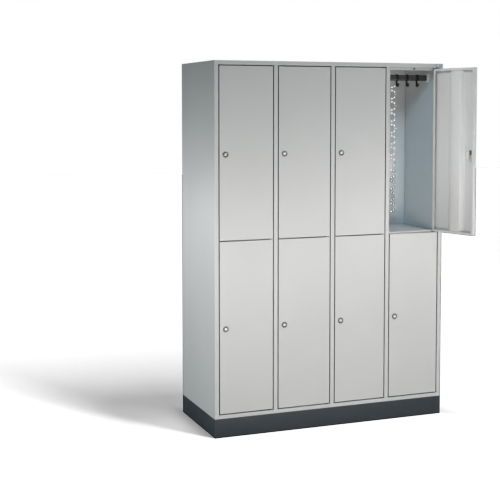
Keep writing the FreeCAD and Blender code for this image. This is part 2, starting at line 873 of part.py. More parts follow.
def make_rails_and_hooks():
    rail, bracket, hook = make_rail(), make_bracket(), make_hook()
    depth = f"{FRONT} + rail_depth"
    rails, brackets, parked = [], [], []
    for tier in TIERS:
        for column in COLUMNS:
            across, up = column_centre(column), rail_up(tier)
            rails.append((rail, across, depth, up, 0))
            brackets.append((bracket, across, depth, up, 0))
            brackets.append((bracket, across, depth, up, 180))
            for place_on_rail in (-1, 0, 1):
                shifted = f"{across} + hooks_aside + {place_on_rail} * hook_pitch"
                entry = (hook, shifted, depth, up, 0)
                if (column, tier) == OPEN_DOOR:
                    copies(f"coat_hook_{place_on_rail + 2}", [entry])
                else:
                    parked.append(entry)
    copies("coat_rails", rails)
    copies("rail_brackets", brackets)
    copies("coat_hooks_behind_doors", parked)


# --- small parts -----------------------------------------------------------------------------


def facing_front(thing):
    turn = FreeCAD.Rotation(FreeCAD.Vector(1, 0, 0), 90)
    thing.Placement = FreeCAD.Placement(FreeCAD.Vector(), turn)


def make_buffers():
    """Rubber studs on the stop flanges, near the middle of the top of each compartment."""
    stud = new_body("buffer")
    face = new_sketch(stud, "XZ_Plane", "-buffer_length")
    circle(face, ("0", "0"), "buffer_radius")
    pad(stud, face, "buffer_length")
    depth = f"{FRONT} + frame_depth - sheet"
    levels = [f"{SPLIT} - buffer_drop", f"{OPENING_TOP} - stop_top / 2"]
    entries = [
        (stud, f"{column_centre(column)} + buffer_aside", depth, level, 0)
        for level in levels
        for column in COLUMNS
    ]
    return copies("door_buffers", entries)


def make_plug():
    """Domed plug in the top rail, over the pivot of the last column."""
    plug = doc.addObject("Part::Cone", "frame_plug")
    plug.setExpression("Radius1", bound("plug_radius"))
    plug.setExpression("Radius2", bound("plug_top_radius"))
    plug.setExpression("Height", bound("plug_height"))
    facing_front(plug)
    place(plug, pivot_across(COLUMNS[-1]), FRONT, "cabinet_height - frame_width / 2")
    return keep(plug, "frame_plug")


# --- checks and files ------------------------------------------------------------------------


def check_model():
    """Stop if any object failed, any cut removed nothing or any node has no sound shape."""
    for thing in doc.Objects:
        if "Invalid" in thing.State or "Error" in thing.State:
            raise RuntimeError(f"{thing.Name} did not compute: {thing.State}")
        if thing.TypeId == "PartDesign::Pocket":
            if thing.Shape.Volume >= thing.BaseFeature.Shape.Volume:
                raise RuntimeError(f"{thing.Name} cut nothing")
    for node in nodes:
        if node.Shape.isNull() or not node.Shape.isValid() or not node.Shape.Solids:
            raise RuntimeError(f"{node.Label} has no sound shape")


def write_nodes():
    os.makedirs("parts", exist_ok=True)
    for node in nodes:
        node.Shape.exportStep(f"parts/{node.Label}.step")
        box = node.Shape.BoundBox
        size = " x ".join(f"{length:.1f}" for length in (box.XLength, box.YLength, box.ZLength))
        print(f"{node.Label}: {len(node.Shape.Solids)} solids, {size}")


fill_sheet()
make_plinth()
make_cover("floor", "plinth_height", "bottom_rail")
make_cover("roof", OPENING_TOP, "frame_width")
make_front_frame()
make_sides_and_partitions()
for column in COLUMNS:
    make_shelf(column)
    make_back_panel(column)
make_rear_ties()
make_doors()
make_hinges()
make_rails_and_hooks()
make_buffers()
make_plug()
doc.recompute()
check_model()
write_nodes()
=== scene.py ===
import json
import math

import bmesh
import bpy
from mathutils import Matrix, Vector


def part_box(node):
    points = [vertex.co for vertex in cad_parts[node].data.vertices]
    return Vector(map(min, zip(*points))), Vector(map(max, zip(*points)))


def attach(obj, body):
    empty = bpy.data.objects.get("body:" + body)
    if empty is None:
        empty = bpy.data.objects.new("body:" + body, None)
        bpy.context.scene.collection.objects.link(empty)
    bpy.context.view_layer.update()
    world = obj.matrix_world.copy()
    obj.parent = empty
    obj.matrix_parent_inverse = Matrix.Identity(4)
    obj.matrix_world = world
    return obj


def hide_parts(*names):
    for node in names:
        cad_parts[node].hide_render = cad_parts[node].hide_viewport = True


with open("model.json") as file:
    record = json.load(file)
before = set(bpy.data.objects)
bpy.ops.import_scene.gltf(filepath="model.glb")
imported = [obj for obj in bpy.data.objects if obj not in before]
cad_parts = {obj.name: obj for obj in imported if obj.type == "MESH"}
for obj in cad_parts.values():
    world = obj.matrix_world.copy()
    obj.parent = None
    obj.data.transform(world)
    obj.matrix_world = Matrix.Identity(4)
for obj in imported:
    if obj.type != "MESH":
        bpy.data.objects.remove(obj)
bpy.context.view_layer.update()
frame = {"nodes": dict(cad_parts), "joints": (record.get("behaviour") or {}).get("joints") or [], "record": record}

MM = 0.001
RIGHT_ANGLE = math.radians(90)
TIERS = ("lower", "upper")
COLUMNS = (1, 2, 3, 4)
DOORS = [f"{tier}_{column}" for tier in TIERS for column in COLUMNS]
OPEN_DOOR = "upper_4"
OPEN_COMPARTMENT = ("side_right", "partition_3", "back_panel_4", "shelf_4")
SLIDING_HOOKS = (1, 2, 3)
JOINTS = {joint["name"]: joint for joint in frame["joints"]}
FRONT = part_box("front_frame")[0].y
RAIL_HALF_HEIGHT = 15 * MM
CLIP_WALL = 2.5 * MM
CLIP_CLEARANCE = 0.3 * MM


# --- shader helpers --------------------------------------------------------------------------


def fill(tree, socket, value):
    """Link a socket to another socket, or give it a value."""
    if isinstance(value, bpy.types.NodeSocket):
        tree.links.new(value, socket)
    else:
        socket.default_value = value


def add(tree, kind, inputs=None, **settings):
    """One node, with its settings made and its sockets filled."""
    made = tree.nodes.new(kind)
    for name, value in settings.items():
        setattr(made, name, value)
    for name, value in (inputs or {}).items():
        fill(tree, made.inputs[name], value)
    return made


def connect(tree, shader, **sockets):
    """Fill sockets of the shader, with _ for a space in their names."""
    for name, value in sockets.items():
        fill(tree, shader.inputs[name.replace("_", " ")], value)


def new_finish(name):
    """An empty material, its tree, its object coordinates and its shader."""
    material = bpy.data.materials.new(name)
    material.use_nodes = True
    tree = material.node_tree
    tree.nodes.clear()
    where = add(tree, "ShaderNodeTexCoord").outputs["Object"]
    shader = add(tree, "ShaderNodeBsdfPrincipled")
    add(tree, "ShaderNodeOutputMaterial", {"Surface": shader.outputs["BSDF"]})
    return material, tree, where, shader


def noise(tree, where, scale, detail=2.0, stretch=None):
    """Noise with `scale` features to the metre, stretched along an axis if asked."""
    if stretch:
        where = add(tree, "ShaderNodeMapping", {"Vector": where, "Scale": stretch}).outputs[0]
    inputs = {"Vector": where, "Scale": scale, "Detail": detail}
    return add(tree, "ShaderNodeTexNoise", inputs).outputs["Fac"]


def remapped(tree, value, source, target):
    """A value moved from one (low, high) range to another."""
    inputs = {
        "Value": value,
        "From Min": source[0],
        "From Max": source[1],
        "To Min": target[0],
        "To Max": target[1],
    }
    return add(tree, "ShaderNodeMapRange", inputs).outputs["Result"]


def spread(tree, fac, low=0.0, high=1.0):
    """Turn noise, which stays near its middle, into a value from low to high."""
    return remapped(tree, fac, (0.3, 0.7), (low, high))


def mix_colours(tree, share, first, second):
    """Blend two colours, or two colour sockets: all of the first at a share of 0."""
    made = add(tree, "ShaderNodeMix", data_type="RGBA")
    fill(tree, made.inputs[0], share)
    for index, colour in ((6, first), (7, second)):
        fill(tree, made.inputs[index], (*colour, 1) if isinstance(colour, tuple) else colour)
    return made.outputs[2]


def shade(colour, factor):
    """The colour made lighter or darker."""
    return tuple(min(1.0, channel * factor) for channel in colour)


def bump(tree, height, depth, under=None):
    """Relief of the given depth in metres, on top of another relief if there is one."""
    inputs = {"Height": height, "Distance": depth, "Strength": 1.0}
    if under:
        inputs["Normal"] = under
    return add(tree, "ShaderNodeBump", inputs).outputs["Normal"]


# --- finishes --------------------------------------------------------------------------------


def painted_gap_shade(tree, colour):
    """The colour with painted shade: darker in gaps and folds, where little light reaches."""
    reach, sheltered, exposed, darkest = 12 * MM, 0.25, 0.6, 0.06
    # Painted shade: the nearer other surfaces stand, the darker the colour, down to 6 percent of it.
    shelter = add(tree, "ShaderNodeAmbientOcclusion", {"Distance": reach}, samples=6)
    kept = remapped(tree, shelter.outputs["AO"], (sheltered, exposed), (darkest, 1.0))
    shaded_colour = add(tree, "ShaderNodeVectorMath", {0: colour, 1: kept}, operation="MULTIPLY")
    return shaded_colour.outputs["Vector"]


def powder_coat(name, colour, roughness, clouding=0.03):
    """Baked powder paint: fine orange peel, faint clouding and a hardly wavy sheet below."""
    material, tree, where, shader = new_finish(name)
    clouds = spread(tree, noise(tree, where, 2.6, 3.0))
    base = mix_colours(tree, clouds, shade(colour, 1 - clouding), shade(colour, 1 + clouding))
    grains = spread(tree, noise(tree, where, 900.0, 1.0))
    speckled = mix_colours(tree, grains, shade(colour, 0.93), shade(colour, 1.05))
    paint = mix_colours(tree, 0.3, base, speckled)
    sheet = bump(tree, noise(tree, where, 5.0, 1.0), 0.6 * MM)
    peel = bump(tree, noise(tree, where, 420.0, 2.0), 0.04 * MM, sheet)
    gloss = spread(tree, noise(tree, where, 60.0, 3.0), roughness - 0.03, roughness + 0.03)
    # The base colour carries painted shade in gaps and folds.
    connect(tree, shader, Base_Color=painted_gap_shade(tree, paint), Roughness=gloss, Normal=peel)
    return material


def plated(name, colour, roughness):
    """Nickel plate: bright metal with a faint haze and hair-fine marks."""
    material, tree, where, shader = new_finish(name)
    haze = noise(tree, where, 160.0, 4.0)
    marks = noise(tree, where, 2200.0, 1.0, (1, 1, 0.15))
    connect(
        tree,
        shader,
        Base_Color=mix_colours(tree, spread(tree, haze), shade(colour, 0.9), colour),
        Metallic=1.0,
        Roughness=spread(tree, haze, roughness * 0.8, roughness * 1.5),
        Normal=bump(tree, marks, 0.004 * MM),
    )
    return material


def brushed(name, colour, roughness, stretch):
    """Steel with brush lines along one axis."""
    material, tree, where, shader = new_finish(name)
    lines = noise(tree, where, 1500.0, 2.0, stretch)
    connect(
        tree,
        shader,
        Base_Color=mix_colours(tree, spread(tree, lines), shade(colour, 0.8), colour),
        Metallic=1.0,
        Roughness=spread(tree, lines, roughness * 0.8, roughness * 1.3),
        Normal=bump(tree, lines, 0.01 * MM),
    )
    return material


def moulded(name, colour, roughness, grain=500.0, depth=0.03 * MM):
    """Moulded plastic or rubber: an even colour with a fine grain and cloudy gloss."""
    material, tree, where, shader = new_finish(name)
    cloud = noise(tree, where, 45.0, 3.0)
    dark, light = shade(colour, 0.85), shade(colour, 1.12)
    connect(
        tree,
        shader,
        Base_Color=mix_colours(tree, spread(tree, cloud), dark, light),
        Roughness=spread(tree, cloud, roughness - 0.05, roughness + 0.08),
        Normal=bump(tree, noise(tree, where, grain, 2.0), depth),
    )
    return material


LIGHT_GREY = (0.60, 0.61, 0.605)
FINISHES = {
    "body_paint": powder_coat("body_powder_coat", LIGHT_GREY, 0.40),
    "door_paint": powder_coat("door_powder_coat", LIGHT_GREY, 0.38),
    "plinth_paint": powder_coat("plinth_powder_coat", (0.038, 0.046, 0.054), 0.42, 0.08),
    "lock_chrome": plated("lock_nickel", (0.24, 0.235, 0.23), 0.22),
    "core_steel": brushed("core_brushed_steel", (0.93, 0.92, 0.90), 0.5, (1, 1, 0.03)),
    "rail_paint": powder_coat("rail_lacquer", (0.062, 0.060, 0.060), 0.3, 0.08),
    "bracket_plastic": moulded("bracket_moulding", (0.86, 0.88, 0.90), 0.4),
    "hook_plastic": moulded("hook_moulding", (0.006, 0.006, 0.0065), 0.22, 700.0, 0.01 * MM),
    "pin_steel": brushed("pin_turned_steel", (0.55, 0.54, 0.53), 0.35, (1, 1, 12)),
    "bush_nylon": moulded("bush_nylon", (0.03, 0.03, 0.03), 0.5),
    "buffer_rubber": moulded("buffer_rubber", (0.014, 0.014, 0.014), 0.75, 900.0, 0.05 * MM),
    "plug_steel": plated("plug_plate", (0.86, 0.86, 0.85), 0.14),
}
SLOTS = {row["node"]: row["material_slot"] for row in frame["record"]["subparts"]}


def dress_frame():
    """Give every node of the frame the finish of its slot."""
    for name, thing in frame["nodes"].items():
        thing.data.materials.clear()
        thing.data.materials.append(FINISHES[SLOTS[name]])


# --- mesh helpers ----------------------------------------------------------------------------


def put(name, data):
    """A new object in the scene, at the origin."""
    thing = bpy.data.objects.new(name, data)
    bpy.context.scene.collection.objects.link(thing)
    return thing


def mesh_piece(name, mesh, slot):
    """A finished mesh as a piece at the origin, with the finish of a slot."""
    mesh.materials.clear()
    mesh.materials.append(FINISHES[slot])
    piece = put(name, mesh)
    return piece


def stand_for(piece, node, body):
    """Let a finished piece take the place of a node, on the node's body."""
    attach(piece, body)
    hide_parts(node)


def smooth(mesh):
    """Smooth shading, with an edge wherever faces meet at more than 35 degrees."""
    mesh.shade_smooth()
    mesh.set_sharp_from_angle(angle=math.radians(35))


def worked_out(holder):
    """The mesh of an object with its modifiers applied. The object goes."""
    bpy.context.view_layer.update()
    evaluated = holder.evaluated_get(bpy.context.evaluated_depsgraph_get())
    mesh = bpy.data.meshes.new_from_object(evaluated)
    bpy.data.objects.remove(holder)
    return mesh


def applied(mesh, kind, settings):
    """The mesh with one modifier worked into it."""
    holder = put("holder", mesh)
    modifier = holder.modifiers.new(kind.lower(), kind)
    for key, value in settings.items():
        setattr(modifier, key, value)
    return worked_out(holder)


def bevelled(mesh, width, segments=3):
    """The mesh with its sharp edges rounded, as bends of a folded sheet are."""
    settings = {
        "width": width,
        "segments": segments,
        "limit_method": "ANGLE",
        "angle_limit": math.radians(40),
        "harden_normals": False,
    }
    made = applied(mesh, "BEVEL", settings)
    smooth(made)
    return made


def recessed(mesh, outline, low, high):
    """The mesh with a straight recess of the given outline cut into it."""
    shape = bmesh.new()
    prism(shape, outline, low, high)
    cutter = put("cutter", built("cutter", shape))
    made = applied(mesh, "BOOLEAN", {"object": cutter, "operation": "DIFFERENCE"})
    bpy.data.objects.remove(cutter)
    return made


def hexagon(radius):
    """Six corners, the first of them on the X axis."""
    angles = [k * math.pi / 3 for k in range(6)]
    return [(radius * math.cos(angle), radius * math.sin(angle)) for angle in angles]


def rounded_outline(points, radius, steps=4):
    """A closed outline with each corner turned into a short arc of steps + 1 points."""
    side_share = 0.45
    rounded = []
    for index, corner in enumerate(points):
        corner = Vector(corner)
        before = Vector(points[index - 1]) - corner
        after = Vector(points[(index + 1) % len(points)]) - corner
        reach = min(radius, before.length * side_share, after.length * side_share)
        start = corner + before.normalized() * reach
        end = corner + after.normalized() * reach
        for step in range(steps + 1):
            share = step / steps
            rounded.append(
                start * (1 - share) ** 2 + corner * 2 * share * (1 - share) + end * share**2
            )
    return rounded


def rounded_side(points, radius, steps):
    """The rounded outline without its first and last corner, which lie on the axis."""
    return rounded_outline(points, radius, steps)[steps + 1 : -steps - 1]


def lathe(shape, outline, steps=48):
    """Turn a closed outline of (radius, height) about Z. Points on the axis close the middle."""
    on_axis = 1e-7
    angles = [2 * math.pi * step / steps for step in range(steps)]
    rings = []
    for radius, height in outline:
        if radius < on_axis:
            rings.append([shape.verts.new((0, 0, height))] * steps)
            continue
        around = [(radius * math.cos(angle), radius * math.sin(angle)) for angle in angles]
        rings.append([shape.verts.new((x, y, height)) for x, y in around])
    for index, ring in enumerate(rings):
        following = rings[(index + 1) % len(rings)]
        for step in range(steps):
            after = (step + 1) % steps
            corners = [ring[step], ring[after], following[after], following[step]]
            unique = list(dict.fromkeys(corners))
            if len(unique) > 2:
                shape.faces.new(unique)


def prism(shape, outline, low, high):
    """A closed plate with the given outline in X and Y, between two heights."""
    floor = [shape.verts.new((x, y, low)) for x, y in outline]
    roof = [shape.verts.new((x, y, high)) for x, y in outline]
    shape.faces.new(floor)
    shape.faces.new(roof)
    for index in range(len(outline)):
        after = (index + 1) % len(outline)
        shape.faces.new((floor[index], floor[after], roof[after], roof[index]))


def sweep(shape, path, section, closed=False, sizes=None):
    """Carry a section of (across, out) along a path in the YZ plane."""
    count = len(path)
    rings = []
    for index, point in enumerate(path):
        before = path[index - 1] if closed or index else path[0]
        after = path[(index + 1) % count] if closed or index < count - 1 else path[-1]
        along = (Vector(after) - Vector(before)).normalized()
        side = Vector((along.y, -along.x))
        size = sizes[index] if sizes else 1.0
        ring = []
        for across, out in section:
            place = Vector(point) + side * out * size
            ring.append(shape.verts.new((across * size, place.x, place.y)))
        rings.append(ring)
    for index in range(count if closed else count - 1):
        ring, following = rings[index], rings[(index + 1) % count]
        for step in range(len(section)):
            after = (step + 1) % len(section)
            shape.faces.new((ring[step], ring[after], following[after], following[step]))
    if not closed:
        shape.faces.new(rings[0])
        shape.faces.new(rings[-1])


def built(name, shape):
    """A mesh from a bmesh, its faces all turned outwards."""
    bmesh.ops.recalc_face_normals(shape, faces=shape.faces[:])
    mesh = bpy.data.meshes.new(name)
    shape.to_mesh(mesh)
    shape.free()
    smooth(mesh)
    return mesh


def merged_copy(node):
    """The node's mesh with its loose triangles joined and its flat faces whole."""
    shape = bmesh.new()
    shape.from_mesh(frame["nodes"][node].data)
    bmesh.ops.remove_doubles(shape, verts=shape.verts[:], dist=0.001 * MM)
    bmesh.ops.dissolve_limit(
        shape, angle_limit=math.radians(0.5), verts=shape.verts[:], edges=shape.edges[:]
    )
    mesh = bpy.data.meshes.new(node)
    shape.to_mesh(mesh)
    shape.free()
    smooth(mesh)
    return mesh


# --- copies by geometry nodes ----------------------------------------------------------------


def copies_tree():
    """Tree that puts a master on every point, turned by the point's own `turn`."""
    tree = bpy.data.node_groups.new("copies_on_points", "GeometryNodeTree")
    sockets = {"Points": "Geometry", "Master": "Object", "Size": "Float", "Finish": "Material"}
    for name, kind in sockets.items():
        tree.interface.new_socket(name, in_out="INPUT", socket_type=f"NodeSocket{kind}")
    tree.interface.new_socket("Copies", in_out="OUTPUT", socket_type="NodeSocketGeometry")
    given = add(tree, "NodeGroupInput").outputs
    master = add(tree, "GeometryNodeObjectInfo", {"Object": given["Master"]})
    turn = add(tree, "GeometryNodeInputNamedAttribute", {"Name": "turn"}, data_type="FLOAT_VECTOR")
    rotation = add(tree, "FunctionNodeEulerToRotation", {"Euler": turn.outputs["Attribute"]})
    placed = add(
        tree,
        "GeometryNodeInstanceOnPoints",
        {
            "Points": given["Points"],
            "Instance": master.outputs["Geometry"],
            "Rotation": rotation.outputs["Rotation"],
            "Scale": given["Size"],
        },
    )
    real = add(tree, "GeometryNodeRealizeInstances", {"Geometry": placed.outputs["Instances"]})
    dressed = add(
        tree,
        "GeometryNodeSetMaterial",
        {"Geometry": real.outputs["Geometry"], "Material": given["Finish"]},
    )
    add(tree, "NodeGroupOutput", {"Copies": dressed.outputs["Geometry"]})
    return tree


COPIES = copies_tree()


def copies(name, master, places, slot, size=1.0):
    """A piece made of one master at each (point, turn), worked into a plain mesh."""
    points = bpy.data.meshes.new(f"{name}_points")
    points.from_pydata([tuple(point) for point, _ in places], [], [])
    turn = points.attributes.new("turn", "FLOAT_VECTOR", "POINT")
    for index, (_, angles) in enumerate(places):
        turn.data[index].vector = angles
    original = put(f"{name}_master", master)
    holder = put(f"{name}_holder", points)
    modifier = holder.modifiers.new("copies", "NODES")
    modifier.node_group = COPIES
    values = {"Master": original, "Size": size, "Finish": FINISHES[slot]}
    for socket in COPIES.interface.items_tree:
        if socket.in_out == "INPUT" and socket.name in values:
            modifier[socket.identifier] = values[socket.name]
    mesh = worked_out(holder)
    bpy.data.objects.remove(original)
    smooth(mesh)
    return mesh_piece(name, mesh, slot)


# --- doors -----------------------------------------------------------------------------------


def door_swing(door):
    """The angle that a door stands open at rest, read from the axis of its lock."""
    axis = JOINTS[f"lock_turn_{door}"]["axis"]
    return math.atan2(-axis[0], axis[1])


def door_place(door):
    """From the door's own frame, with its pivot and its bottom edge at zero, to the cabinet's."""
    pivot = JOINTS[f"door_hinge_{door}"]["pos_m"]
    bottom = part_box(f"door_panel_{door}")[0].z
    where = Matrix.Translation((pivot[0], pivot[1], bottom))
    return where @ Matrix.Rotation(door_swing(door), 4, "Z")


def lock_place(door):
    """From a lock's own frame, Z out of the door's front and zero on its skin."""
    centre = Matrix.Translation(JOINTS[f"lock_turn_{door}"]["pos_m"])
    swing = Matrix.Rotation(door_swing(door), 4, "Z")
    inset = JOINTS[f"door_hinge_{door}"]["pos_m"][1] - FRONT
    upright = Matrix.Rotation(RIGHT_ANGLE, 4, "X")
    return centre @ swing @ upright @ Matrix.Translation((0, 0, inset))


def housing_mesh():
    """Rosette with a rolled edge and a dished middle, threaded barrel and six-sided nut."""
    low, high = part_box("lock_housing_lower_1")
    radius = (high.z - low.z) / 2
    proud, end = FRONT - low.y, FRONT - high.y
    barrel, bore = radius * 0.64, radius * 0.452
    shape = bmesh.new()
    outline = [
        (radius * 0.70, proud),
        (radius * 0.90, proud),
        (radius, proud * 0.45),
        (radius, 0),
        (barrel, 0),
        (barrel, end),
        (bore, end),
        (bore, proud * 0.4),
    ]
    lathe(shape, rounded_outline(outline, 0.5 * MM))
    turns, first, pitch = 6, -7.5 * MM, 2.1 * MM
    root, crest, half = barrel - 0.2 * MM, barrel + 0.25 * MM, 0.7 * MM
    for turn in range(turns):
        depth = first - turn * pitch
        lathe(shape, [(root, depth - half), (crest, depth), (root, depth + half)])
    nut_back, nut_front = -6 * MM, -1 * MM
    prism(shape, rounded_outline(hexagon(0.9 * radius), 0.8 * MM), nut_back, nut_front)
    return built("lock_housing", shape)


def cam_outline(half_width, reach, steps=12):
    """A plate hanging down from the lock's axis, both ends half circles."""
    outline = []
    for start, drop in ((0.0, 0.0), (math.pi, reach)):
        for step in range(steps + 1):
            angle = start + math.pi * step / steps
            outline.append((half_width * math.cos(angle), half_width * math.sin(angle) - drop))
    return outline


def core_mesh():
    """Core with a keyway, a collar behind the barrel, a cam plate and the screw that holds it."""
    low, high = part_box("lock_core_lower_1")
    axis_height = JOINTS["lock_turn_lower_1"]["pos_m"][2]
    proud, end = FRONT - low.y, FRONT - high.y
    core, collar, neck, screw = 6.4 * MM, 8 * MM, 5 * MM, 5 * MM
    collar_front, collar_back, neck_back = -22.3 * MM, -24 * MM, -26.4 * MM
    turned = [
        (core, proud),
        (core, collar_front),
        (collar, collar_front),
        (collar, collar_back),
        (neck, collar_back),
        (neck, neck_back),
    ]
    body = bmesh.new()
    lathe(body, [(0, proud), *rounded_outline(turned, 0.35 * MM), (0, neck_back)])
    wide, tall, key_depth = 0.8 * MM, 4 * MM, -5 * MM
    keyway = [(-wide, -tall), (wide, -tall), (wide, tall), (-wide, tall)]
    cut = recessed(built("lock_core_body", body), keyway, key_depth, proud + 1 * MM)
    shape = bmesh.new()
    shape.from_mesh(cut)
    cam_half, cam_back, cam_front = 7 * MM, -29 * MM, -26.5 * MM
    cam_reach = axis_height - low.z - cam_half
    prism(shape, cam_outline(cam_half, cam_reach), cam_back, cam_front)
    prism(shape, rounded_outline(hexagon(screw), 0.5 * MM), end, cam_back)
    return built("lock_core", shape)


def weld_mesh():
    """Shallow dish left by one spot weld."""
    shape = bmesh.new()
    rim, rise = 3.2 * MM, 0.3 * MM
    dish = [(0, 0.05 * MM), (rim * 0.55, 0.06 * MM), (rim * 0.8, rise), (rim, 0.0), (0, -rise)]
    lathe(shape, dish, 12)
    return built("spot_weld", shape)


def make_locks():
    housing, core = housing_mesh(), core_mesh()
    for door in DOORS:
        for mesh, kind, slot, body in (
            (housing, "lock_housing", "lock_chrome", f"door_{door}"),
            (core, "lock_core", "core_steel", f"lock_{door}"),
        ):
            own = mesh.copy()
            own.transform(lock_place(door))
            piece = mesh_piece(f"{kind}_finished_{door}", own, slot)
            stand_for(piece, f"{kind}_{door}", body)


def make_stiffeners():
    """The hat sections again, with the bends of a folded sheet."""
    for door in DOORS:
        node = f"door_stiffener_{door}"
        mesh = bevelled(merged_copy(node), 0.45 * MM, 2)
        piece = mesh_piece(f"stiffener_finished_{door}", mesh, "door_paint")
        stand_for(piece, node, f"door_{door}")


def make_welds():
    """Two rows of spot welds down the flanges of each stiffener."""
    master = weld_mesh()
    rows, pitch, flange, flange_face = 14, 58 * MM, 48 * MM, 2 * MM
    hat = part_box("door_stiffener_lower_1")
    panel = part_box("door_panel_lower_1")
    pivot = JOINTS["door_hinge_lower_1"]["pos_m"]
    middle = (hat[0].x + hat[1].x) / 2 - pivot[0]
    behind = flange_face - (pivot[1] - FRONT)
    half_height = (panel[1].z - panel[0].z) / 2
    for door in DOORS:
        place = door_place(door)
        turn = (-RIGHT_ANGLE, 0, door_swing(door))
        places = []
        for row in range(rows):
            up = half_height + (row - (rows - 1) / 2) * pitch
            for side in (-1, 1):
                places.append((place @ Vector((middle + side * flange, behind, up)), turn))
        piece = copies(f"spot_welds_{door}", master, places, "door_paint")
        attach(piece, f"door_{door}")


# --- coat rails ------------------------------------------------------------------------------


def column_walls(column):
    """Where a column's compartments begin and end in X."""
    low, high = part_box(f"shelf_{column}")
    return low.x, high.x


def column_middle(column):
    return sum(column_walls(column)) / 2


def oval_path(half_width, half_height, steps=12):
    """Upright oval in the YZ plane, its ends half circles."""
    straight = half_height - half_width
    path = []
    for centre, start in ((straight, 0.0), (-straight, math.pi)):
        for step in range(steps + 1):
            angle = start + math.pi * step / steps
            path.append((half_width * math.cos(angle), centre + half_width * math.sin(angle)))
    return path


def rounded_section(half_across, half_out, steps=5):
    """Section of a moulding: an oblong with well rounded corners."""
    corners = [(-1, -1), (1, -1), (1, 1), (-1, 1)]
    outline = [(half_across * x, half_out * y) for x, y in corners]
    return [tuple(p) for p in rounded_outline(outline, half_out * 0.9, steps)]


def hook_mesh():
    """Clip round the oval rail, with a tapering hook that ends in a rounded tip."""
    low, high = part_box("coat_hook_2")
    rail_low, rail_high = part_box("coat_rails")
    half_width = (rail_high.y - rail_low.y) / 2 + CLIP_CLEARANCE + CLIP_WALL / 2
    half_height = RAIL_HALF_HEIGHT + CLIP_CLEARANCE + CLIP_WALL / 2
    clip_across = (high.x - low.x) / 2
    hook_across, hook_out = clip_across * 0.8, 2.5 * MM
    bend, rise, narrowest = 7.5 * MM, 6.5 * MM, 0.12
    drop = high.z - low.z - 2 * half_height - CLIP_WALL / 2 - hook_out - bend
    shape = bmesh.new()
    clip_section = rounded_section(clip_across, CLIP_WALL / 2)
    sweep(shape, oval_path(half_width, half_height), clip_section, True)
    path = [(0.0, -half_height - drop * k / 6) for k in range(6)]
    for step in range(17):
        angle = -math.pi * step / 16
        path.append((-bend + bend * math.cos(angle), -half_height - drop + bend * math.sin(angle)))
    for step in range(1, 5):
        path.append((-2 * bend, -half_height - drop + rise * step / 4))
    tip = path[-1][1]
    sizes = [1.0] * len(path)
    for step in range(1, 7):
        angle = math.pi / 2 * step / 6
        path.append((-2 * bend, tip + hook_out * math.sin(angle)))
        sizes.append(max(narrowest, math.cos(angle)))
    sweep(shape, path, rounded_section(hook_across, hook_out), False, sizes)
    return built("coat_hook", shape)


def make_hooks():
    """Three sliding hooks in the open compartment, and as many fixed ones in each other."""
    master = hook_mesh()
    rail_low, rail_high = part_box("coat_rails")
    depth = (rail_low.y + rail_high.y) / 2
    boxes = [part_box(f"coat_hook_{number}") for number in SLIDING_HOOKS]
    across = [(low.x + high.x) / 2 for low, high in boxes]
    upper_rail = boxes[0][1].z - (RAIL_HALF_HEIGHT + CLIP_CLEARANCE + CLIP_WALL)
    lower_rail = rail_low.z + RAIL_HALF_HEIGHT
    for number, along in zip(SLIDING_HOOKS, across):
        places = [((along, depth, upper_rail), (0, 0, 0))]
        piece = copies(f"coat_hook_finished_{number}", master, places, "hook_plastic")
        stand_for(piece, f"coat_hook_{number}", f"coat_hook_{number}")
    pitch = across[1] - across[0]
    aside = across[1] - column_middle(COLUMNS[-1])
    hidden = []
    for door in DOORS:
        if door == OPEN_DOOR:
            continue
        middle = column_middle(door[-1]) + aside
        up = upper_rail if door.startswith("upper") else lower_rail
        for step in (-1, 0, 1):
            hidden.append(((middle + step * pitch, depth, up), (0, 0, 0)))
    piece = copies("coat_hooks_finished", master, hidden, "hook_plastic")
    stand_for(piece, "coat_hooks_behind_doors", "carcass")


def screw_mesh():
    """Pan-head screw with a cross recess."""
    head, rim, rim_height, crown = 3.4 * MM, 3.0 * MM, 2.0 * MM, 2.2 * MM
    section = [(0, 0), (head, 0), (rim, rim_height), (0, crown)]
    shape = bmesh.new()
    lathe(shape, [(0, 0), *rounded_side(section, 0.9 * MM, 3), (0, crown)], 24)
    arm, thin = 2.0 * MM, 0.35 * MM
    half = [(-arm, -thin), (-thin, -thin), (-thin, -arm), (thin, -arm), (thin, -thin), (arm, -thin)]
    cross = half + [(-x, -y) for x, y in half]
    return recessed(built("screw_head", shape), cross, 1.2 * MM, 3.0 * MM)


def make_rails():
    """Rails and their end brackets, and two screws in each bracket."""
    rails = merged_copy("coat_rails")
    stand_for(mesh_piece("coat_rails_finished", rails, "rail_paint"), "coat_rails", "carcass")
    brackets = bevelled(merged_copy("rail_brackets"), 0.7 * MM)
    piece = mesh_piece("rail_brackets_finished", brackets, "bracket_plastic")
    stand_for(piece, "rail_brackets", "carcass")
    low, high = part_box("rail_brackets")
    depth = (low.y + high.y) / 2
    half_bracket, plate, up_plate, along_plate = 23 * MM, 3 * MM, 18.5 * MM, 11.5 * MM
    screw_size = 0.72
    places = []
    for level in (low.z + half_bracket, high.z - half_bracket):
        for column in COLUMNS:
            for wall, side in zip(column_walls(column), (1, -1)):
                across, turn = wall + side * plate, (0, side * RIGHT_ANGLE, 0)
                for lift in (-1, 1):
                    point = (across, depth + lift * along_plate, level + lift * up_plate)
                    places.append((point, turn))
    screws = copies("bracket_screws", screw_mesh(), places, "pin_steel", screw_size)
    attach(screws, "carcass")


# --- small parts -----------------------------------------------------------------------------


def dome_mesh(name, radius, length, edge, crown):
    """Short stud with a rounded rim and a slightly crowned end."""
    shape = bmesh.new()
    side = rounded_side([(0, 0), (radius, 0), (radius, length), (0, length)], edge, 5)
    top = [(radius * 0.5, length + crown * 0.75), (0, length + crown)]
    lathe(shape, [(0, 0), *side, *top], 40)
    return built(name, shape)


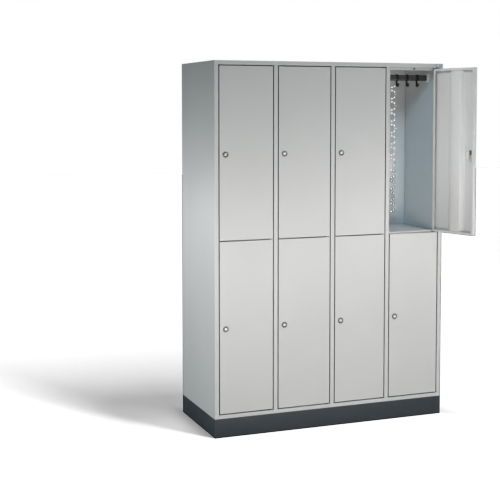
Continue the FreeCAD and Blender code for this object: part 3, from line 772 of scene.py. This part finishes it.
def make_buffers():
    """One buffer on the stop flange behind each door."""
    low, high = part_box("door_buffers")
    length, radius, crown = high.y - low.y, 4 * MM, 0.15 * MM
    aside = low.x + radius - column_middle(COLUMNS[0])
    master = dome_mesh("buffer", radius, length - crown, 1.2 * MM, crown)
    places = []
    for level in (low.z + radius, high.z - radius):
        for column in COLUMNS:
            point = (column_middle(column) + aside, high.y, level)
            places.append((point, (RIGHT_ANGLE, 0, 0)))
    piece = copies("door_buffers_finished", master, places, "buffer_rubber")
    stand_for(piece, "door_buffers", "carcass")


def make_plug():
    """Round plug in the top rail, half of its height a crown."""
    low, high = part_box("frame_plug")
    radius, half = (high.z - low.z) / 2, (high.y - low.y) * 0.5
    plug = dome_mesh("plug", radius, half, 0.5 * MM, half)
    seat = Matrix.Translation(((low.x + high.x) / 2, high.y, (low.z + high.z) / 2))
    plug.transform(seat @ Matrix.Rotation(RIGHT_ANGLE, 4, "X"))
    stand_for(mesh_piece("frame_plug_finished", plug, "plug_steel"), "frame_plug", "carcass")


def make_plinth():
    """The plinth again, with the rounded bends of a thicker folded sheet."""
    mesh = bevelled(merged_copy("plinth"), 0.5 * MM)
    stand_for(mesh_piece("plinth_finished", mesh, "plinth_paint"), "plinth", "carcass")


# --- studio ----------------------------------------------------------------------------------


def make_floor():
    """White floor that shows nothing but the shadow."""
    bpy.ops.mesh.primitive_plane_add(size=40, location=(0, 0, 0))
    floor = bpy.context.object
    floor.name = "studio_floor"
    material, tree, where, shader = new_finish("studio_floor")
    tone = mix_colours(tree, noise(tree, where, 0.4), (0.86, 0.86, 0.86), (0.9, 0.9, 0.9))
    connect(tree, shader, Base_Color=tone, Roughness=0.8)
    floor.data.materials.append(material)
    floor.is_shadow_catcher = True
    return floor


# Place, target, width, height, power, colour and, for a narrow lamp, its spread in degrees.
LAMPS = {
    "front_left": ((-0.6, -1.65, 0.62), (-0.6, 0, 0.62), 1.6, 0.6, 13.1, (1, 0.95, 0.925)),
    "front_right": ((1.0, -1.65, 0.84), (1.0, 0, 0.84), 1.6, 0.6, 13.2, (1, 0.95, 0.925)),
    "side_strip": ((-1.2, 0.0, 1.0), (0, 0, 1.0), 2.0, 0.2, 4.4, (1, 0.98, 0.98)),
    "side_low": ((-2.2, 0.0, 0.4), (-0.6, 0, 0.5), 1.5, 0.5, 12, (0.97, 0.98, 1)),
    "right_wash": ((2.0, -1.5, 2.0), (0.3, 0, 1.4), 1.0, 1.0, 4, (0.72, 0.88, 1)),
    "door_beam": ((-1.7, -1.6, 3.0), (0.62, -0.37, 1.58), 0.35, 0.9, 0.6, (1, 0.98, 0.98), 12),
    "wall_beam": ((-0.95, -2.4, 3.1), (0.6, -0.1, 1.4), 0.35, 0.9, 0.5, (0.4, 0.75, 1), 12),
    "inner_beam": ((0.55, -3.0, 2.3), (0.5, 0.1, 1.2), 0.15, 0.3, 0.11, (1, 0.9, 0.85), 10),
    "right_side": ((2.6, 0.3, 1.1), (0.6, 0.1, 1.0), 1.2, 1.4, 22, (1, 1, 1)),
    "rear_wash": ((0.3, 2.6, 1.3), (0, 0.25, 1.0), 1.6, 1.4, 35, (1, 1, 1)),
    "rear_strip": ((-0.3, 0.75, 1.33), (0.6, 0.17, 1.33), 0.1, 1.2, 1.2, (0.8, 0.93, 1), 70),
    "key": ((0.756, -1.954, 5.92), (0, 0, 0.3), 0.3, 3.05, 80, (1, 1, 1)),
}


def make_lamp(name, place, target, width, height, power, colour, spread_angle=180):
    light = bpy.data.lights.new(name, "AREA")
    light.shape = "RECTANGLE"
    light.size, light.size_y = width, height
    light.energy = power
    light.color = colour
    light.spread = math.radians(spread_angle)
    lamp = put(name, light)
    lamp.location = place
    lamp.rotation_euler = (Vector(target) - Vector(place)).to_track_quat("-Z", "Y").to_euler()
    lamp.visible_camera = False
    return lamp


def receivers(name, things, state):
    """A collection that lets a lamp reach only these things, or everything but them."""
    collection = bpy.data.collections.new(name)
    for thing in things:
        collection.objects.link(thing)
    for entry in collection.collection_objects:
        entry.light_linking.link_state = state
    return collection


def finished(*names):
    return [bpy.data.objects[name] for name in names]


def make_lights(floor):
    """Soft lamps round the cabinet, and beams that light only the open door or compartment."""
    nodes = frame["nodes"]
    inside = [nodes[name] for name in OPEN_COMPARTMENT]
    inside += finished("coat_rails_finished", "rail_brackets_finished")
    inside += finished(*(f"coat_hook_finished_{number}" for number in SLIDING_HOOKS))
    door_kinds = ("stiffener_finished", "lock_housing_finished", "lock_core_finished", "spot_welds")
    door = [nodes[f"door_panel_{OPEN_DOOR}"]]
    door += finished(*(f"{kind}_{OPEN_DOOR}" for kind in door_kinds))
    all_but_floor = receivers("all_but_the_floor", [floor], "EXCLUDE")
    compartment = receivers("open_compartment", inside, "INCLUDE")
    special = {
        "key": None,
        "door_beam": receivers("open_door", door, "INCLUDE"),
        "wall_beam": compartment,
        "inner_beam": compartment,
    }
    for name, settings in LAMPS.items():
        lamp = make_lamp(name, *settings)
        lamp.light_linking.receiver_collection = special.get(name, all_but_floor)


def make_world():
    """White surroundings, of which only a faint blue-green fill reaches the cabinet."""
    world = bpy.data.worlds.new("studio")
    bpy.context.scene.world = world
    world.use_nodes = True
    tree = world.node_tree
    tree.nodes.clear()
    seen = add(tree, "ShaderNodeBackground", {"Color": (1, 1, 1, 1), "Strength": 1.0})
    light = add(tree, "ShaderNodeBackground", {"Color": (0.6, 0.93, 1, 1), "Strength": 0.08})
    path = add(tree, "ShaderNodeLightPath").outputs["Is Camera Ray"]
    both = add(tree, "ShaderNodeMixShader", {0: path, 1: light.outputs[0], 2: seen.outputs[0]})
    add(tree, "ShaderNodeOutputWorld", {"Surface": both.outputs[0]})


def make_camera():
    """Camera to the left of the cabinet, tipped down a little, with the lens shifted down."""
    data = bpy.data.cameras.new("camera")
    data.sensor_width = 36
    data.lens = 79.73
    data.shift_x = -0.0129
    data.shift_y = -0.1464
    camera = put("camera", data)
    camera.location = (-2.308, -5.127, 1.5575)
    camera.rotation_euler = (math.radians(86.5), 0, math.radians(-21.37))
    bpy.context.scene.camera = camera


bpy.context.scene.view_settings.view_transform = "Standard"
dress_frame()
make_plinth()
make_locks()
make_stiffeners()
make_welds()
make_rails()
make_hooks()
make_buffers()
make_plug()
make_lights(make_floor())
make_world()
make_camera()
